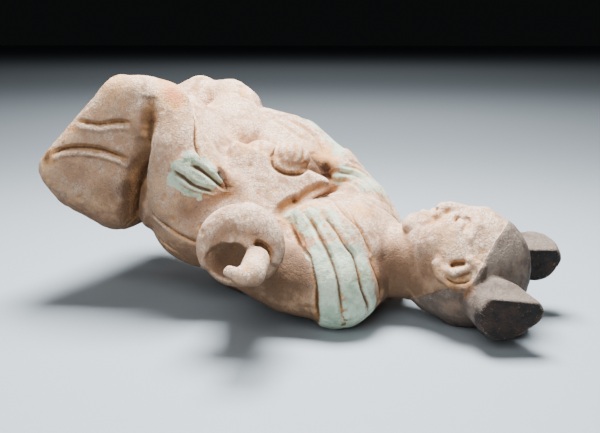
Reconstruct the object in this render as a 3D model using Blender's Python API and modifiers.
"""Kneeling attendant figure with two hair buns, fired clay, lying on its back.

The body is laid out in units: the figure is UNITS_LONG units from the corner of
its folded legs to the tip of its hair buns. X runs towards the head, Y towards
the figure's right side, and Z, up from the ground, towards its face.
"""
import math

import bmesh
import bpy
import numpy as np
from mathutils import Euler, Matrix, Vector
from mathutils.bvhtree import BVHTree

FIGURE_LENGTH = 0.215
UNITS_LONG = 222.0
UNIT = FIGURE_LENGTH / UNITS_LONG

FIGURE_NAME = "kneeling_figure"
COLLECTION_NAME = "tomb_attendant"

VOXEL = 1.1
FINE_VOXEL = 0.77
BODY_ROUNDS = 16
DETAIL_ROUNDS = 3
LAST_ROUNDS = 1
FINAL_ROUNDS = 2
CARVE_STEP = 0.6
CARVE_FADE = 0.18
TRIANGLES = 9400

# The underside of the folded legs, which the figure kneels on, and the ground.
BASE_POINT = (-8.6, 0.0, 61.0)
BASE_LEAN = 41.0
GROUND_SINK = 1.0

CLAY_COLOUR = (0.56, 0.43, 0.33, 1.0)
CLAY_ROUGHNESS = 0.9


def clear_scene():
    """Remove every object that the file holds."""
    for thing in list(bpy.data.objects):
        bpy.data.objects.remove(thing, do_unlink=True)


def ball(clay, centre, radii, turn=(0.0, 0.0, 0.0)):
    """Add an egg of clay, turned by degrees about X, Y and Z."""
    angles = Euler([math.radians(a) for a in turn])
    place = Matrix.LocRotScale(Vector(centre), angles, Vector(radii))
    bmesh.ops.create_icosphere(clay, subdivisions=4, radius=1.0, matrix=place)


def wrap(clay, *balls):
    """Add the tight skin around some balls, each given as x, y, z and radius."""
    lump = bmesh.new()
    for x, y, z, radius in balls:
        place = Matrix.Translation((x, y, z))
        bmesh.ops.create_icosphere(lump, subdivisions=3, radius=radius, matrix=place)
    skin = bmesh.ops.convex_hull(lump, input=lump.verts[:])
    inner = set(skin["geom_interior"]) | set(skin["geom_unused"])
    loose = [v for v in inner if isinstance(v, bmesh.types.BMVert)]
    bmesh.ops.delete(lump, geom=loose, context="VERTS")
    mesh = bpy.data.meshes.new("lump")
    lump.to_mesh(mesh)
    lump.free()
    clay.from_mesh(mesh)
    bpy.data.meshes.remove(mesh)


def limb(clay, *balls):
    """Add a bending tapered limb: the skins around each two balls in turn."""
    for first, second in zip(balls, balls[1:]):
        wrap(clay, first, second)


# Masses of the body, as balls (x, y, z, radius) and eggs (centre, radii).
NEAR_SHIN = (
    (31.5, -35.0, 96.3, 9.5), (2.0, -45.0, 63.5, 9.5), (8.0, -43.0, 55.0, 9.5),
    (25.0, -36.0, 45.0, 10.0), (39.5, -34.0, 46.5, 10.0), (44.0, -34.0, 92.0, 8.0),
    (2.0, -14.0, 63.5, 9.5), (25.0, -19.0, 90.0, 9.0), (24.0, -10.0, 46.0, 10.0),
)
FAR_SHIN = (
    (31.0, 33.0, 94.0, 9.0), (2.5, 45.0, 63.5, 9.5), (8.0, 43.0, 55.0, 9.5),
    (25.0, 36.0, 45.0, 10.0), (37.0, 34.0, 48.0, 10.0), (44.0, 32.0, 88.0, 8.0),
    (2.0, 14.0, 63.5, 9.5), (24.0, 19.0, 88.0, 9.0), (24.0, 10.0, 46.0, 10.0),
)
SHIN_BRIDGE = (
    (15.0, 0.0, 78.0, 9.5), (2.0, 0.0, 63.5, 9.5), (8.0, 0.0, 55.0, 9.0),
    (26.0, 0.0, 46.0, 10.0), (40.0, 0.0, 78.0, 12.0),
)
NEAR_THIGH = (
    (49.0, -31.0, 92.0, 11.5), (55.0, -32.0, 74.0, 15.0), (62.0, -27.0, 50.0, 21.0),
)
FAR_THIGH = (
    (54.0, 28.0, 88.0, 11.5), (57.0, 30.0, 73.0, 15.0), (62.0, 27.0, 50.0, 21.0),
)
NEAR_KNEE = (
    (32.5, -35.0, 95.8, 9.5), (43.0, -34.0, 96.0, 9.5), (50.5, -30.0, 91.5, 11.0),
    (52.0, -33.0, 80.0, 12.0),
)
FAR_KNEE = (
    (38.0, 32.0, 91.5, 9.0), (50.0, 30.0, 92.0, 9.5), (57.5, 28.0, 87.5, 10.0),
    (55.0, 31.0, 78.0, 12.0),
)
LAP = (
    (43.0, 0.0, 86.0, 9.0), (52.0, -8.0, 81.0, 8.5), (52.0, -20.0, 83.0, 9.0),
    (56.0, 3.0, 70.0, 10.0), (63.0, -12.0, 64.0, 11.0), (63.0, 2.0, 62.0, 12.0),
)
FAR_LAP = (
    (48.0, 12.0, 80.0, 9.0), (57.0, 22.0, 86.5, 9.5), (56.0, 9.0, 81.0, 9.0),
    (66.0, 10.0, 74.0, 11.0), (68.0, 24.0, 75.0, 11.0),
)
HIPS = ((65.0, 0.0, 42.0), (32.5, 47.0, 28.0))
SEAT = ((76.0, 3.0, 28.5), (28.0, 25.0, 28.5))
BELLY = ((84.0, 0.0, 34.0), (30.0, 32.0, 26.0))
WAIST = ((98.0, 0.0, 25.0), (30.0, 32.0, 24.5))
CHEST = ((127.0, 0.0, 25.0), (22.0, 39.0, 26.0))
BREAST = ((115.0, -3.0, 30.0), (17.0, 27.0, 21.0))
COLLAR_BONE = (
    (109.5, -13.0, 41.0, 9.0), (121.0, -14.0, 39.5, 11.0), (118.0, 8.0, 40.0, 11.0),
)
SHOULDERS = (
    (130.0, -26.0, 19.0, 18.0), (128.0, 26.0, 24.0, 18.0), (136.0, 0.0, 22.0, 14.0),
)
FAR_SHOULDER = ((121.0, 24.0, 41.0, 15.5), (130.0, 20.0, 28.0, 16.0))
NECK = ((138.0, 0.0, 25.0, 18.0), (158.0, 0.0, 25.0, 15.5))

# Arms and what the hands hold. The near forearm is held out to the figure's left.
NEAR_ARM = (
    (130.0, -27.0, 19.5, 17.0), (110.0, -33.0, 22.0, 15.0), (96.0, -38.0, 29.0, 13.5),
    (101.0, -54.0, 38.0, 12.0), (103.5, -60.0, 41.0, 12.5),
)
FAR_ARM = (
    (121.0, 26.0, 41.0, 14.0), (109.0, 30.0, 53.0, 12.5), (99.0, 12.0, 59.0, 10.0),
    (95.0, 4.0, 61.0, 8.0),
)
FAR_SLEEVE = (
    (106.0, 31.0, 57.5, 12.0), (87.0, 32.0, 71.0, 12.0), (70.0, 27.0, 76.0, 12.0),
    (84.0, 14.0, 63.0, 12.0), (90.0, 34.0, 40.0, 10.0),
)
CLOTH_WEDGE = (
    (75.0, -12.0, 73.0, 3.0), (78.0, -21.5, 54.0, 3.5), (114.0, -2.5, 57.0, 2.8),
    (100.0, -17.0, 48.0, 3.2), (76.0, -2.0, 66.0, 6.0), (80.0, -6.0, 46.0, 8.0),
    (98.0, 6.0, 46.0, 8.0),
)
NEAR_HAND = ((82.5, -1.0, 69.0), (8.0, 7.0, 6.5))
FAR_HAND = ((97.2, -1.2, 68.0), (9.2, 7.6, 7.4))
SHAWL_END = (
    (61.5, -44.0, 65.5, 2.6), (63.5, -43.5, 69.5, 2.6), (69.5, -38.5, 71.5, 2.6),
    (79.0, -31.5, 61.0, 2.6), (80.5, -32.5, 56.5, 2.6), (76.0, -39.5, 56.0, 2.6),
    (67.5, -44.0, 59.5, 2.6),
)

# The flared sleeve mouth on the figure's left, and the broken stub inside it.
CUFF_CENTRE = (104.5, -63.6, 42.2)
CUFF_FACING = (0.42, -0.88, 0.22)
CUFF_RADIUS = 16.7
CUFF_THICK = 6.5
CUFF_SET_BACK = 2.5
CUFF_BOWL = ((-3.6, -5.9, 4.0), (9.6, 7.4, 9.5))
RIM_START = 205.0
RIM_END = -44.0
RIM_STEPS = 16
RIM_OUT = 1.5
RIM_SHARES = (0.0, 0.22, 0.5, 0.76, 1.0)
RIM_RADII = (3.6, 6.0, 7.8, 6.0, 2.6)
RIM_EDGE = (
    (-8.5, 2.6, 3.5), (-4.0, 1.4, 4.0), (1.2, 0.6, 4.0), (5.5, 0.4, 5.0),
    (9.6, -0.8, 4.5), (11.8, -5.3, 3.0))
RIM_EDGE_WIDTH = 2.5
RIM_EDGE_DEPTH = 2.4
STUB = (
    (109.9, -59.3, 40.6, 4.4), (115.7, -71.8, 39.2, 4.2), (119.6, -82.8, 38.1, 4.1),
    (118.2, -87.2, 37.8, 3.1), (116.4, -89.2, 38.6, 2.2), (115.0, -90.8, 40.4, 1.4),
)

# Head, hair and the two buns, before the head is turned.
SKULL = ((180.0, 0.0, 26.5), (25.0, 22.5, 26.0))
JAW = ((166.0, 0.0, 32.0), (14.5, 15.5, 17.0))
NAPE = ((168.0, -1.0, 22.0), (15.0, 17.0, 17.0))
CHEEK = ((170.0, -8.5, 38.0), (10.0, 9.0, 10.0))
CHIN = ((158.0, 0.0, 41.5), (5.0, 6.0, 5.5))
NOSE = (
    (181.0, 0.0, 46.5, 2.6), (173.0, 0.0, 48.5, 2.8), (168.5, 0.0, 49.5, 3.3),
)
NOSTRIL = ((167.8, -2.9, 48.0), (2.4, 2.3, 2.4))
EYELID = ((178.0, -8.4, 43.8), (3.4, 4.8, 4.2))
SOCKET = (6.5, 2.0, (179.0, -5.5, 49.0), (178.5, -11.5, 46.0))
BROW = ((183.5, -3.5, 47.6, 2.0), (184.4, -8.5, 46.5, 2.2), (182.8, -14.0, 42.4, 2.0))
UPPER_LIP = ((163.2, -5.0, 46.6, 1.2), (163.4, -1.6, 48.4, 1.6), (163.4, 0.0, 48.4, 1.5))
LOWER_LIP = ((161.2, -4.6, 46.0, 1.2), (160.8, 0.0, 47.6, 1.9))
EAR_RIM = (
    (171.5, -20.4, 34.8, 2.4), (173.6, -22.0, 31.0, 2.5), (178.5, -23.3, 28.4, 2.3),
    (183.8, -23.4, 28.0, 2.4), (188.0, -22.0, 31.0, 2.5), (188.6, -20.6, 35.4, 2.3),
    (185.0, -20.0, 38.0, 1.8),
)
NEAR_BUN = (
    (190.0, -19.0, 22.0, 9.0), (198.5, -25.5, 20.5, 11.0), (209.0, -26.0, 21.5, 5.0),
)
FAR_BUN = (
    (190.0, 19.0, 24.0, 9.0), (203.0, 25.5, 23.5, 10.5), (210.0, 26.5, 23.0, 4.5),
)
# Each pared side of a bun: its facing, its distance from the bun's middle, its reach.
BUN_FACETS = (
    (NEAR_BUN, (0.28, -0.35, 0.9), 8.6, 17.0),
    (NEAR_BUN, (0.43, -0.9, -0.12), 5.5, 16.0),
    (FAR_BUN, (0.25, -0.35, 0.9), 6.4, 14.0),
    (FAR_BUN, (0.5, -0.84, -0.2), 5.4, 13.0),
)
FACET_PRESS = 0.94
HEAD_ROLL = 8.0
HEAD_PIVOT = (160.0, 0.0, 25.0)

# Where the hair starts on the upright head: height Z for each X, and its step.
HAIRLINE_X = (150.0, 160.0, 173.5, 186.0, 190.0, 193.0, 198.0, 200.0)
HAIRLINE_Z = (10.0, 15.0, 24.5, 29.0, 37.0, 44.0, 50.0, 60.0)
HAIR_STEP = 0.7

# Where the shawl starts on each shoulder: X for each height Z, and its step.
SHAWL_Z = (0.0, 8.0, 24.0, 34.0, 40.0, 46.0, 60.0)
SHAWL_NEAR_X = (124.0, 125.0, 127.0, 122.0, 113.0, 107.0, 105.0)
SHAWL_FAR_X = (124.0, 124.0, 122.0, 119.0, 117.0, 115.0, 110.0)
SHAWL_STEP = 0.9
COLLAR_X = 141.0
COLLAR_RADIUS = 17.0

# Carved lines: width, depth (below nothing is a raised line), then their points.
LEG_LINES = (
    (5.0, 2.6, (50.5, -41.5, 97.0), (51.0, -44.0, 87.0), (48.0, -45.0, 74.0),
     (42.5, -43.0, 60.0), (40.0, -43.0, 49.0), (36.5, -35.0, 37.5)),
    (6.4, 5.0, (49.0, -45.0, 78.0), (42.5, -43.0, 60.0), (40.0, -43.0, 49.0),
     (36.5, -35.0, 37.5), (36.0, -14.0, 34.0)),
    (2.2, 1.5, (6.0, -51.0, 71.5), (14.0, -51.0, 74.5), (23.0, -49.0, 75.0),
     (32.0, -46.0, 73.0), (40.0, -44.0, 70.0)),
    (1.8, 1.1, (18.0, -48.0, 86.0), (24.0, -48.0, 85.0), (32.0, -46.0, 84.5),
     (47.0, -44.5, 86.0)),
    (2.0, 0.9, (53.0, -46.0, 47.5), (60.0, -47.0, 43.0), (66.0, -46.0, 40.0),
     (74.0, -43.0, 35.5)),
    (2.0, 0.9, (54.0, -42.0, 32.0), (59.0, -39.0, 27.0), (62.0, -32.5, 22.0),
     (67.0, -30.0, 19.0)),
)
FAR_CREASE = (
    6.0, 2.4, (51.0, 41.0, 88.0), (48.5, 43.5, 76.0), (43.5, 44.0, 62.0),
    (40.5, 43.0, 50.0), (37.0, 35.0, 38.0))
NEAR_LINES = (
    (2.0, 1.1, (59.0, -32.0, 98.0), (60.5, -26.0, 93.0), (65.0, -29.0, 86.0),
     (70.0, -37.0, 74.5), (72.0, -38.0, 70.0)),
    (2.2, 1.5, (64.0, -45.0, 71.0), (71.5, -41.0, 66.0), (79.0, -35.0, 58.0)),
    (2.0, 1.4, (63.0, -46.0, 67.0), (70.0, -44.0, 62.0), (77.0, -39.0, 57.0)),
    (2.0, 1.3, (67.0, -42.0, 73.0), (74.0, -37.0, 67.5), (80.0, -32.0, 60.5)),
    (4.2, 2.6, (116.0, -2.0, 57.0), (112.0, -9.0, 55.5), (107.0, -14.0, 52.0),
     (103.0, -19.0, 49.5), (102.0, -24.0, 45.5)),
    (2.2, 1.3, (104.0, -21.0, 45.5), (113.2, -28.2, 37.4), (123.4, -39.0, 34.2),
     (128.7, -45.0, 22.2), (127.4, -38.0, 6.0)),
    (2.2, 1.6, (113.0, -20.0, 47.5), (125.0, -32.2, 40.4), (135.5, -40.8, 28.6),
     (138.0, -42.5, 20.2), (137.5, -38.0, 7.0)),
    (2.2, 1.6, (121.0, -19.5, 48.0), (134.0, -30.4, 40.0), (142.5, -34.3, 27.6),
     (144.6, -35.0, 20.5), (143.5, -26.0, 8.0)),
    (1.8, 1.1, (119.6, -5.6, 52.5), (134.4, -20.0, 46.3), (145.0, -24.0, 32.0)),
    (1.7, 0.9, (131.2, -14.0, 49.5), (141.3, -21.6, 38.8), (145.0, -22.0, 31.0)),
    (1.5, 0.8, (93.0, -3.0, 71.0), (98.0, -8.0, 67.0)),
    (1.5, 0.8, (96.5, -2.0, 71.5), (101.5, -7.5, 67.0)),
    (1.5, 0.8, (100.0, -1.0, 71.0), (104.0, -6.0, 66.5)),
    (1.5, 0.8, (79.0, -3.0, 73.5), (81.0, -8.0, 70.0)),
    (1.5, 0.8, (83.0, -2.5, 74.0), (85.5, -7.5, 70.0)),
)
FAR_LINES = (
    (2.4, 1.2, (112.0, 14.0, 61.0), (118.5, 20.0, 57.5), (129.0, 18.0, 52.5),
     (138.0, 19.0, 44.5)),
    (2.0, 1.0, (111.0, 12.0, 57.0), (117.5, 16.0, 54.0), (126.0, 12.0, 51.0)),
    (2.4, 1.2, (114.0, 26.0, 62.0), (122.0, 31.0, 55.0), (131.0, 34.0, 40.0),
     (134.0, 37.0, 22.0), (131.0, 32.0, 7.0)),
    (2.2, 1.1, (124.0, 27.0, 56.0), (136.0, 29.0, 42.0), (142.0, 33.0, 24.0),
     (140.0, 30.0, 9.0)),
    (2.0, 1.0, (132.0, 22.0, 50.0), (142.0, 22.0, 38.0), (147.0, 24.0, 22.0)),
    (2.0, 1.0, (83.0, 24.0, 84.0), (93.0, 25.0, 79.0), (103.0, 23.0, 72.0),
     (109.0, 16.0, 65.0)),
    (1.8, 0.9, (77.0, 20.0, 84.0), (88.0, 19.0, 79.0), (96.0, 19.0, 74.0)),
    (2.0, 1.0, (80.0, 33.0, 82.0), (93.0, 38.0, 74.0), (103.0, 41.0, 60.0),
     (98.0, 42.0, 44.0)),
    (2.2, 1.2, (74.0, 36.0, 78.0), (84.0, 42.0, 66.0), (90.0, 43.0, 50.0)),
    (5.0, 3.4, (100.0, 15.0, 69.5), (106.5, 12.0, 66.0), (110.5, 12.0, 60.5),
     (111.5, 12.0, 55.0)),
    (1.6, 0.8, (56.0, 19.0, 95.0), (61.0, 21.0, 93.5), (66.0, 23.0, 88.5)),
    (2.0, 1.0, (64.0, 38.0, 80.0), (71.0, 44.0, 62.0), (73.0, 46.0, 48.0)),
)
COLLAR_LINE = (
    3.0, 1.3, (136.0, -2.0, 49.5), (144.0, -15.0, 38.0), (147.5, -25.0, 23.0),
    (146.5, -19.0, 9.0))
HEAD_LINES = (
    (4.0, 1.6, (177.5, -21.5, 33.5), (184.5, -20.8, 34.5)),
    (1.8, 0.7, (198.5, -1.8, 45.5), (203.5, -2.2, 36.0), (205.0, -2.6, 26.0)),
    (1.4, 0.8, (178.0, -4.6, 50.0), (176.6, -8.4, 50.0), (177.4, -12.2, 47.0)),
    (1.2, 0.7, (162.2, -5.6, 48.0), (162.1, 0.0, 50.0)),
)


def turned_head(x, y, z):
    """Place a point of the upright head on the head as it leans."""
    pivot = Vector(HEAD_PIVOT)
    roll = Matrix.Rotation(math.radians(HEAD_ROLL), 3, "X")
    return tuple(roll @ (Vector((x, y, z)) - pivot) + pivot)


def head_balls(balls):
    """Turn a row of head balls with the head."""
    return [turned_head(*b[:3]) + (b[3],) for b in balls]


def cuff_frame():
    """Give the right, up and outward directions of the flared sleeve mouth."""
    outward = Vector(CUFF_FACING).normalized()
    up = (Vector((0.0, 0.0, 1.0)) - outward * outward.z).normalized()
    return up.cross(outward), up, outward


def cuff_point(right_by, up_by, out_by):
    """Place a point measured from the middle of the sleeve mouth."""
    right, up, outward = cuff_frame()
    return Vector(CUFF_CENTRE) + right * right_by + up * up_by + outward * out_by


def rim_balls():
    """Give the balls of the rolled rim, thickest at its top."""
    balls = []
    for step in range(RIM_STEPS + 1):
        share = step / RIM_STEPS
        angle = math.radians(RIM_START + (RIM_END - RIM_START) * share)
        radius = float(np.interp(share, RIM_SHARES, RIM_RADII))
        reach = CUFF_RADIUS - radius
        spot = cuff_point(reach * math.cos(angle), reach * math.sin(angle), RIM_OUT)
        balls.append(tuple(spot) + (radius,))
    return balls


def body_masses(clay):
    """Add the folded legs, the hips, the trunk and the shoulders."""
    for lump in (NEAR_SHIN, FAR_SHIN, SHIN_BRIDGE, NEAR_KNEE, FAR_KNEE, LAP, FAR_LAP,
                 COLLAR_BONE):
        wrap(clay, *lump)
    limb(clay, *NEAR_THIGH)
    limb(clay, *FAR_THIGH)
    for centre, radii in (HIPS, SEAT, BELLY, WAIST, CHEST, BREAST):
        ball(clay, centre, radii)
    wrap(clay, *SHOULDERS)
    wrap(clay, *FAR_SHOULDER)
    limb(clay, *NECK)


def arms_and_head(clay):
    """Add the arms, the cloth in the lap, the hands, the head and the buns."""
    limb(clay, *NEAR_ARM)
    limb(clay, *FAR_ARM)
    wrap(clay, *FAR_SLEEVE)
    wrap(clay, *CLOTH_WEDGE)
    wrap(clay, *SHAWL_END)
    ball(clay, *NEAR_HAND)
    ball(clay, *FAR_HAND)
    disc = Vector(CUFF_FACING).to_track_quat("Z", "Y").to_euler()
    turn = [math.degrees(a) for a in disc]
    disc_radii = (CUFF_RADIUS - 0.6, CUFF_RADIUS - 0.6, CUFF_THICK)
    ball(clay, cuff_point(0.0, 0.0, -CUFF_SET_BACK), disc_radii, turn)
    limb(clay, *rim_balls())
    for centre, radii in (SKULL, JAW, NAPE):
        ball(clay, turned_head(*centre), radii, (HEAD_ROLL, 0.0, 0.0))
    for side in (1.0, -1.0):
        x, y, z = CHEEK[0]
        ball(clay, turned_head(x, y * side, z), CHEEK[1], (HEAD_ROLL, 0.0, 0.0))
    limb(clay, *head_balls(NEAR_BUN))
    limb(clay, *head_balls(FAR_BUN))


def face_and_stub(clay):
    """Add the face, the ears and the stub in the sleeve mouth."""
    limb(clay, *STUB)
    ball(clay, turned_head(*CHIN[0]), CHIN[1])
    limb(clay, *head_balls(NOSE))
    for side in (1.0, -1.0):
        for centre, radii in (NOSTRIL, EYELID):
            spot = (centre[0], centre[1] * side, centre[2])
            ball(clay, turned_head(*spot), radii, (HEAD_ROLL, 0.0, 0.0))
        for row in (BROW, UPPER_LIP, LOWER_LIP, EAR_RIM):
            turned = [(x, y * side, z, r) for x, y, z, r in row]
            limb(clay, *head_balls(turned))


def knead(mesh, add, rounds, voxel=VOXEL):
    """Join more clay to a mesh, make it one skin, and soften it."""
    clay = bmesh.new()
    if mesh is not None:
        clay.from_mesh(mesh)
    add(clay)
    lumps = bpy.data.meshes.new("lumps")
    clay.to_mesh(lumps)
    clay.free()
    skin = shaped(lumps, "REMESH", mode="VOXEL", voxel_size=voxel)
    return soften(skin, rounds)


def read_points(mesh):
    """Give a mesh's points as rows of numbers."""
    points = np.empty(len(mesh.vertices) * 3)
    mesh.vertices.foreach_get("co", points)
    return points.reshape(-1, 3)


def write_points(mesh, points):
    """Put moved points back on their mesh."""
    mesh.vertices.foreach_set("co", points.ravel())
    mesh.update()


def press_bowl(mesh):
    """Press the hollow of the sleeve mouth, as a thumb would, along its facing."""
    points = read_points(mesh)
    right, up, outward = (np.array(axis) for axis in cuff_frame())
    middle = np.array(cuff_point(*CUFF_BOWL[0]))
    local = (points - middle) @ np.stack((right, up, outward), axis=1)
    across = (local[:, :2] / CUFF_BOWL[1][:2]) ** 2
    room = 1.0 - across.sum(axis=1)
    floor = -CUFF_BOWL[1][2] * np.sqrt(np.clip(room, 0.0, None))
    deep = (room > 0.0) & (local[:, 2] > floor) & (local[:, 2] < 12.0)
    points[deep] += (floor - local[:, 2])[deep, None] * outward
    write_points(mesh, points)


def pare_buns(mesh):
    """Pare the flat sides of the two buns, as a knife would."""
    for bun, facing, distance, reach in BUN_FACETS:
        points = read_points(mesh)
        outward = np.array(Vector(facing).normalized())
        offset = points - np.array(turned_head(*bun[1][:3])) - outward * distance
        above = offset @ outward
        across = np.linalg.norm(offset - above[:, None] * outward, axis=1)
        cut = (above > 0.0) & (across < reach) & (above < reach)
        points[cut] -= above[cut, None] * outward * FACET_PRESS
        write_points(mesh, points)


def smooth_curve(points, step):
    """Give evenly close points on a smooth curve through a few points."""
    knots = [Vector(p) for p in points]
    knots = [knots[0] * 2 - knots[1]] + knots + [knots[-1] * 2 - knots[-2]]
    curve = []
    for a, b, c, d in zip(knots, knots[1:], knots[2:], knots[3:]):
        count = max(2, math.ceil((c - b).length / step))
        for i in range(count):
            t = i / count
            curve.append(0.5 * (b * 2 + (c - a) * t + (a * 2 - b * 5 + c * 4 - d) * t * t
                                + (b * 3 - a - c * 3 + d) * t ** 3))
    curve.append(knots[-2])
    return curve


def carve(mesh, tree, normals, line):
    """Sink a rounded groove, or raise a crest, along a line laid on the skin."""
    width, depth, knots = line[0], line[1], line[2:]
    curve = [tree.find_nearest(p)[0] for p in smooth_curve(knots, CARVE_STEP)]
    path = np.array([tuple(p) for p in curve])
    points = read_points(mesh)
    low, high = path.min(axis=0) - width, path.max(axis=0) + width
    near = np.flatnonzero(((points > low) & (points < high)).all(axis=1))
    gaps = np.linalg.norm(points[near, None, :] - path[None, :, :], axis=2)
    nearest = gaps.argmin(axis=1)
    share = np.clip(gaps.min(axis=1) / width, 0.0, 1.0)
    place = nearest / (len(path) - 1)
    ends = np.clip(np.minimum(place, 1.0 - place) / CARVE_FADE, 0.0, 1.0)
    sink = depth * (1.0 - share * share) ** 2 * np.sqrt(ends)
    points[near] -= normals[near] * sink[:, None]
    write_points(mesh, points)


def mirrored(line):
    """Give a carved line again on the other side of the body."""
    return line[:2] + tuple((x, -y, z) for x, y, z in line[2:])


def on_head(line):
    """Turn a carved line with the head."""
    return line[:2] + tuple(turned_head(*p) for p in line[2:])


def raise_patches(mesh, normals):
    """Step the shawl up from the arms, and the hair up from the face."""
    points = read_points(mesh)
    x, y, z = points.T
    edge = np.where(y < 0.0, np.interp(z, SHAWL_Z, SHAWL_NEAR_X),
                    np.interp(z, SHAWL_Z, SHAWL_FAR_X))
    collar = np.maximum(np.hypot(y, z - HEAD_PIVOT[2]) - COLLAR_RADIUS, COLLAR_X - x)
    inside = np.minimum(np.minimum(x - edge, collar), HEAD_PIVOT[0] - 8.0 - x)
    lift = SHAWL_STEP * np.clip(inside / 1.2, 0.0, 1.0)
    roll = math.radians(HEAD_ROLL)
    rise = z - HEAD_PIVOT[2]
    upright = HEAD_PIVOT[2] - y * math.sin(roll) + rise * math.cos(roll)
    hair = np.interp(x, HAIRLINE_X, HAIRLINE_Z) - upright
    hair = np.minimum(hair, x - HAIRLINE_X[0] - 4.0)
    lift += HAIR_STEP * np.clip(hair / 1.2, 0.0, 1.0)
    write_points(mesh, points + normals * lift[:, None])


def vertex_normals(mesh):
    """Give the direction each point of a mesh faces."""
    normals = np.empty(len(mesh.vertices) * 3)
    mesh.vertex_normals.foreach_get("vector", normals)
    return normals.reshape(-1, 3)


def carve_lines(mesh, lines):
    """Carve some lines, all laid on the skin as it is before the first."""
    clay = bmesh.new()
    clay.from_mesh(mesh)
    tree = BVHTree.FromBMesh(clay)
    clay.free()
    normals = vertex_normals(mesh)
    for line in lines:
        carve(mesh, tree, normals, line)


def carve_all(mesh):
    """Carve the folds, the shawl, the fingers and the lines of the head."""
    raise_patches(mesh, vertex_normals(mesh))
    lines = list(LEG_LINES) + [FAR_CREASE, mirrored(LEG_LINES[2])]
    lines += list(NEAR_LINES) + list(FAR_LINES)
    lines += [COLLAR_LINE, mirrored(COLLAR_LINE)]
    edge = tuple(tuple(cuff_point(*spot)) for spot in RIM_EDGE)
    lines.append((RIM_EDGE_WIDTH, RIM_EDGE_DEPTH) + edge)
    for line in HEAD_LINES:
        lines += [on_head(line), on_head(mirrored(line))]
    carve_lines(mesh, lines)


def cut_flat(clay, point, normal):
    """Slice off what lies beyond a plane and close the cut with a flat face."""
    everything = clay.verts[:] + clay.edges[:] + clay.faces[:]
    cut = bmesh.ops.bisect_plane(
        clay, geom=everything, dist=0.0001, plane_co=point, plane_no=normal,
        clear_outer=True)
    rim = [e for e in cut["geom_cut"] if isinstance(e, bmesh.types.BMEdge)]
    bmesh.ops.holes_fill(clay, edges=rim, sides=0)


def base_normal():
    """Give the direction that the underside of the legs faces."""
    lean = math.radians(BASE_LEAN)
    return Vector((-math.cos(lean), 0.0, math.sin(lean)))


def shaped(mesh, kind, **settings):
    """Apply one modifier to a mesh and return the new mesh."""
    thing = bpy.data.objects.new("work", mesh)
    bpy.context.scene.collection.objects.link(thing)
    modifier = thing.modifiers.new("work", kind)
    for name, value in settings.items():
        setattr(modifier, name, value)
    bpy.context.view_layer.update()
    seen = thing.evaluated_get(bpy.context.evaluated_depsgraph_get())
    result = bpy.data.meshes.new_from_object(seen)
    bpy.data.objects.remove(thing, do_unlink=True)
    bpy.data.meshes.remove(mesh)
    return result


def soften(mesh, rounds):
    """Smooth a mesh without changing which points it has."""
    return shaped(mesh, "SMOOTH", factor=0.5, iterations=round(rounds))


def slim(mesh, triangles):
    """Reduce a mesh to about a number of triangles."""
    mesh.calc_loop_triangles()
    ratio = min(1.0, triangles / len(mesh.loop_triangles))
    return shaped(mesh, "DECIMATE", ratio=ratio)


def clay_material():
    """Make the plain pink clay."""
    clay = bpy.data.materials.new("painted_clay")
    clay.use_nodes = True
    shader = clay.node_tree.nodes["Principled BSDF"]
    shader.inputs["Base Color"].default_value = CLAY_COLOUR
    shader.inputs["Roughness"].default_value = CLAY_ROUGHNESS
    shader.inputs["Metallic"].default_value = 0.0
    return clay


def sculpt():
    """Model the whole figure in units and return its mesh."""
    mesh = knead(None, body_masses, BODY_ROUNDS)
    mesh = knead(mesh, arms_and_head, DETAIL_ROUNDS)
    press_bowl(mesh)
    carve_lines(mesh, [on_head(SOCKET), on_head(mirrored(SOCKET))])
    mesh = knead(mesh, face_and_stub, LAST_ROUNDS, FINE_VOXEL)
    pare_buns(mesh)
    carve_all(mesh)
    return soften(mesh, FINAL_ROUNDS)


def finish(mesh):
    """Slim the mesh, cut its flats, and bring it to its real size and place."""
    mesh = slim(mesh, TRIANGLES)
    clay = bmesh.new()
    clay.from_mesh(mesh)
    cut_flat(clay, BASE_POINT, base_normal())
    cut_flat(clay, (0.0, 0.0, GROUND_SINK), (0.0, 0.0, -1.0))
    bmesh.ops.triangulate(clay, faces=[f for f in clay.faces if len(f.verts) > 4])
    xs = [v.co.x for v in clay.verts]
    ys = [v.co.y for v in clay.verts]
    middle = Vector(((min(xs) + max(xs)) / 2, (min(ys) + max(ys)) / 2, GROUND_SINK))
    for v in clay.verts:
        v.co = (v.co - middle) * UNIT
    clay.to_mesh(mesh)
    clay.free()
    return mesh


def main():
    """Build the figure in its own collection."""
    clear_scene()
    mesh = finish(sculpt())
    mesh.name = FIGURE_NAME
    figure = bpy.data.objects.new(FIGURE_NAME, mesh)
    home = bpy.data.collections.new(COLLECTION_NAME)
    bpy.context.scene.collection.children.link(home)
    home.objects.link(figure)
    mesh.materials.clear()
    mesh.materials.append(clay_material())
    mesh.shade_smooth()
    mesh.set_sharp_from_angle(angle=math.radians(50.0))


main()
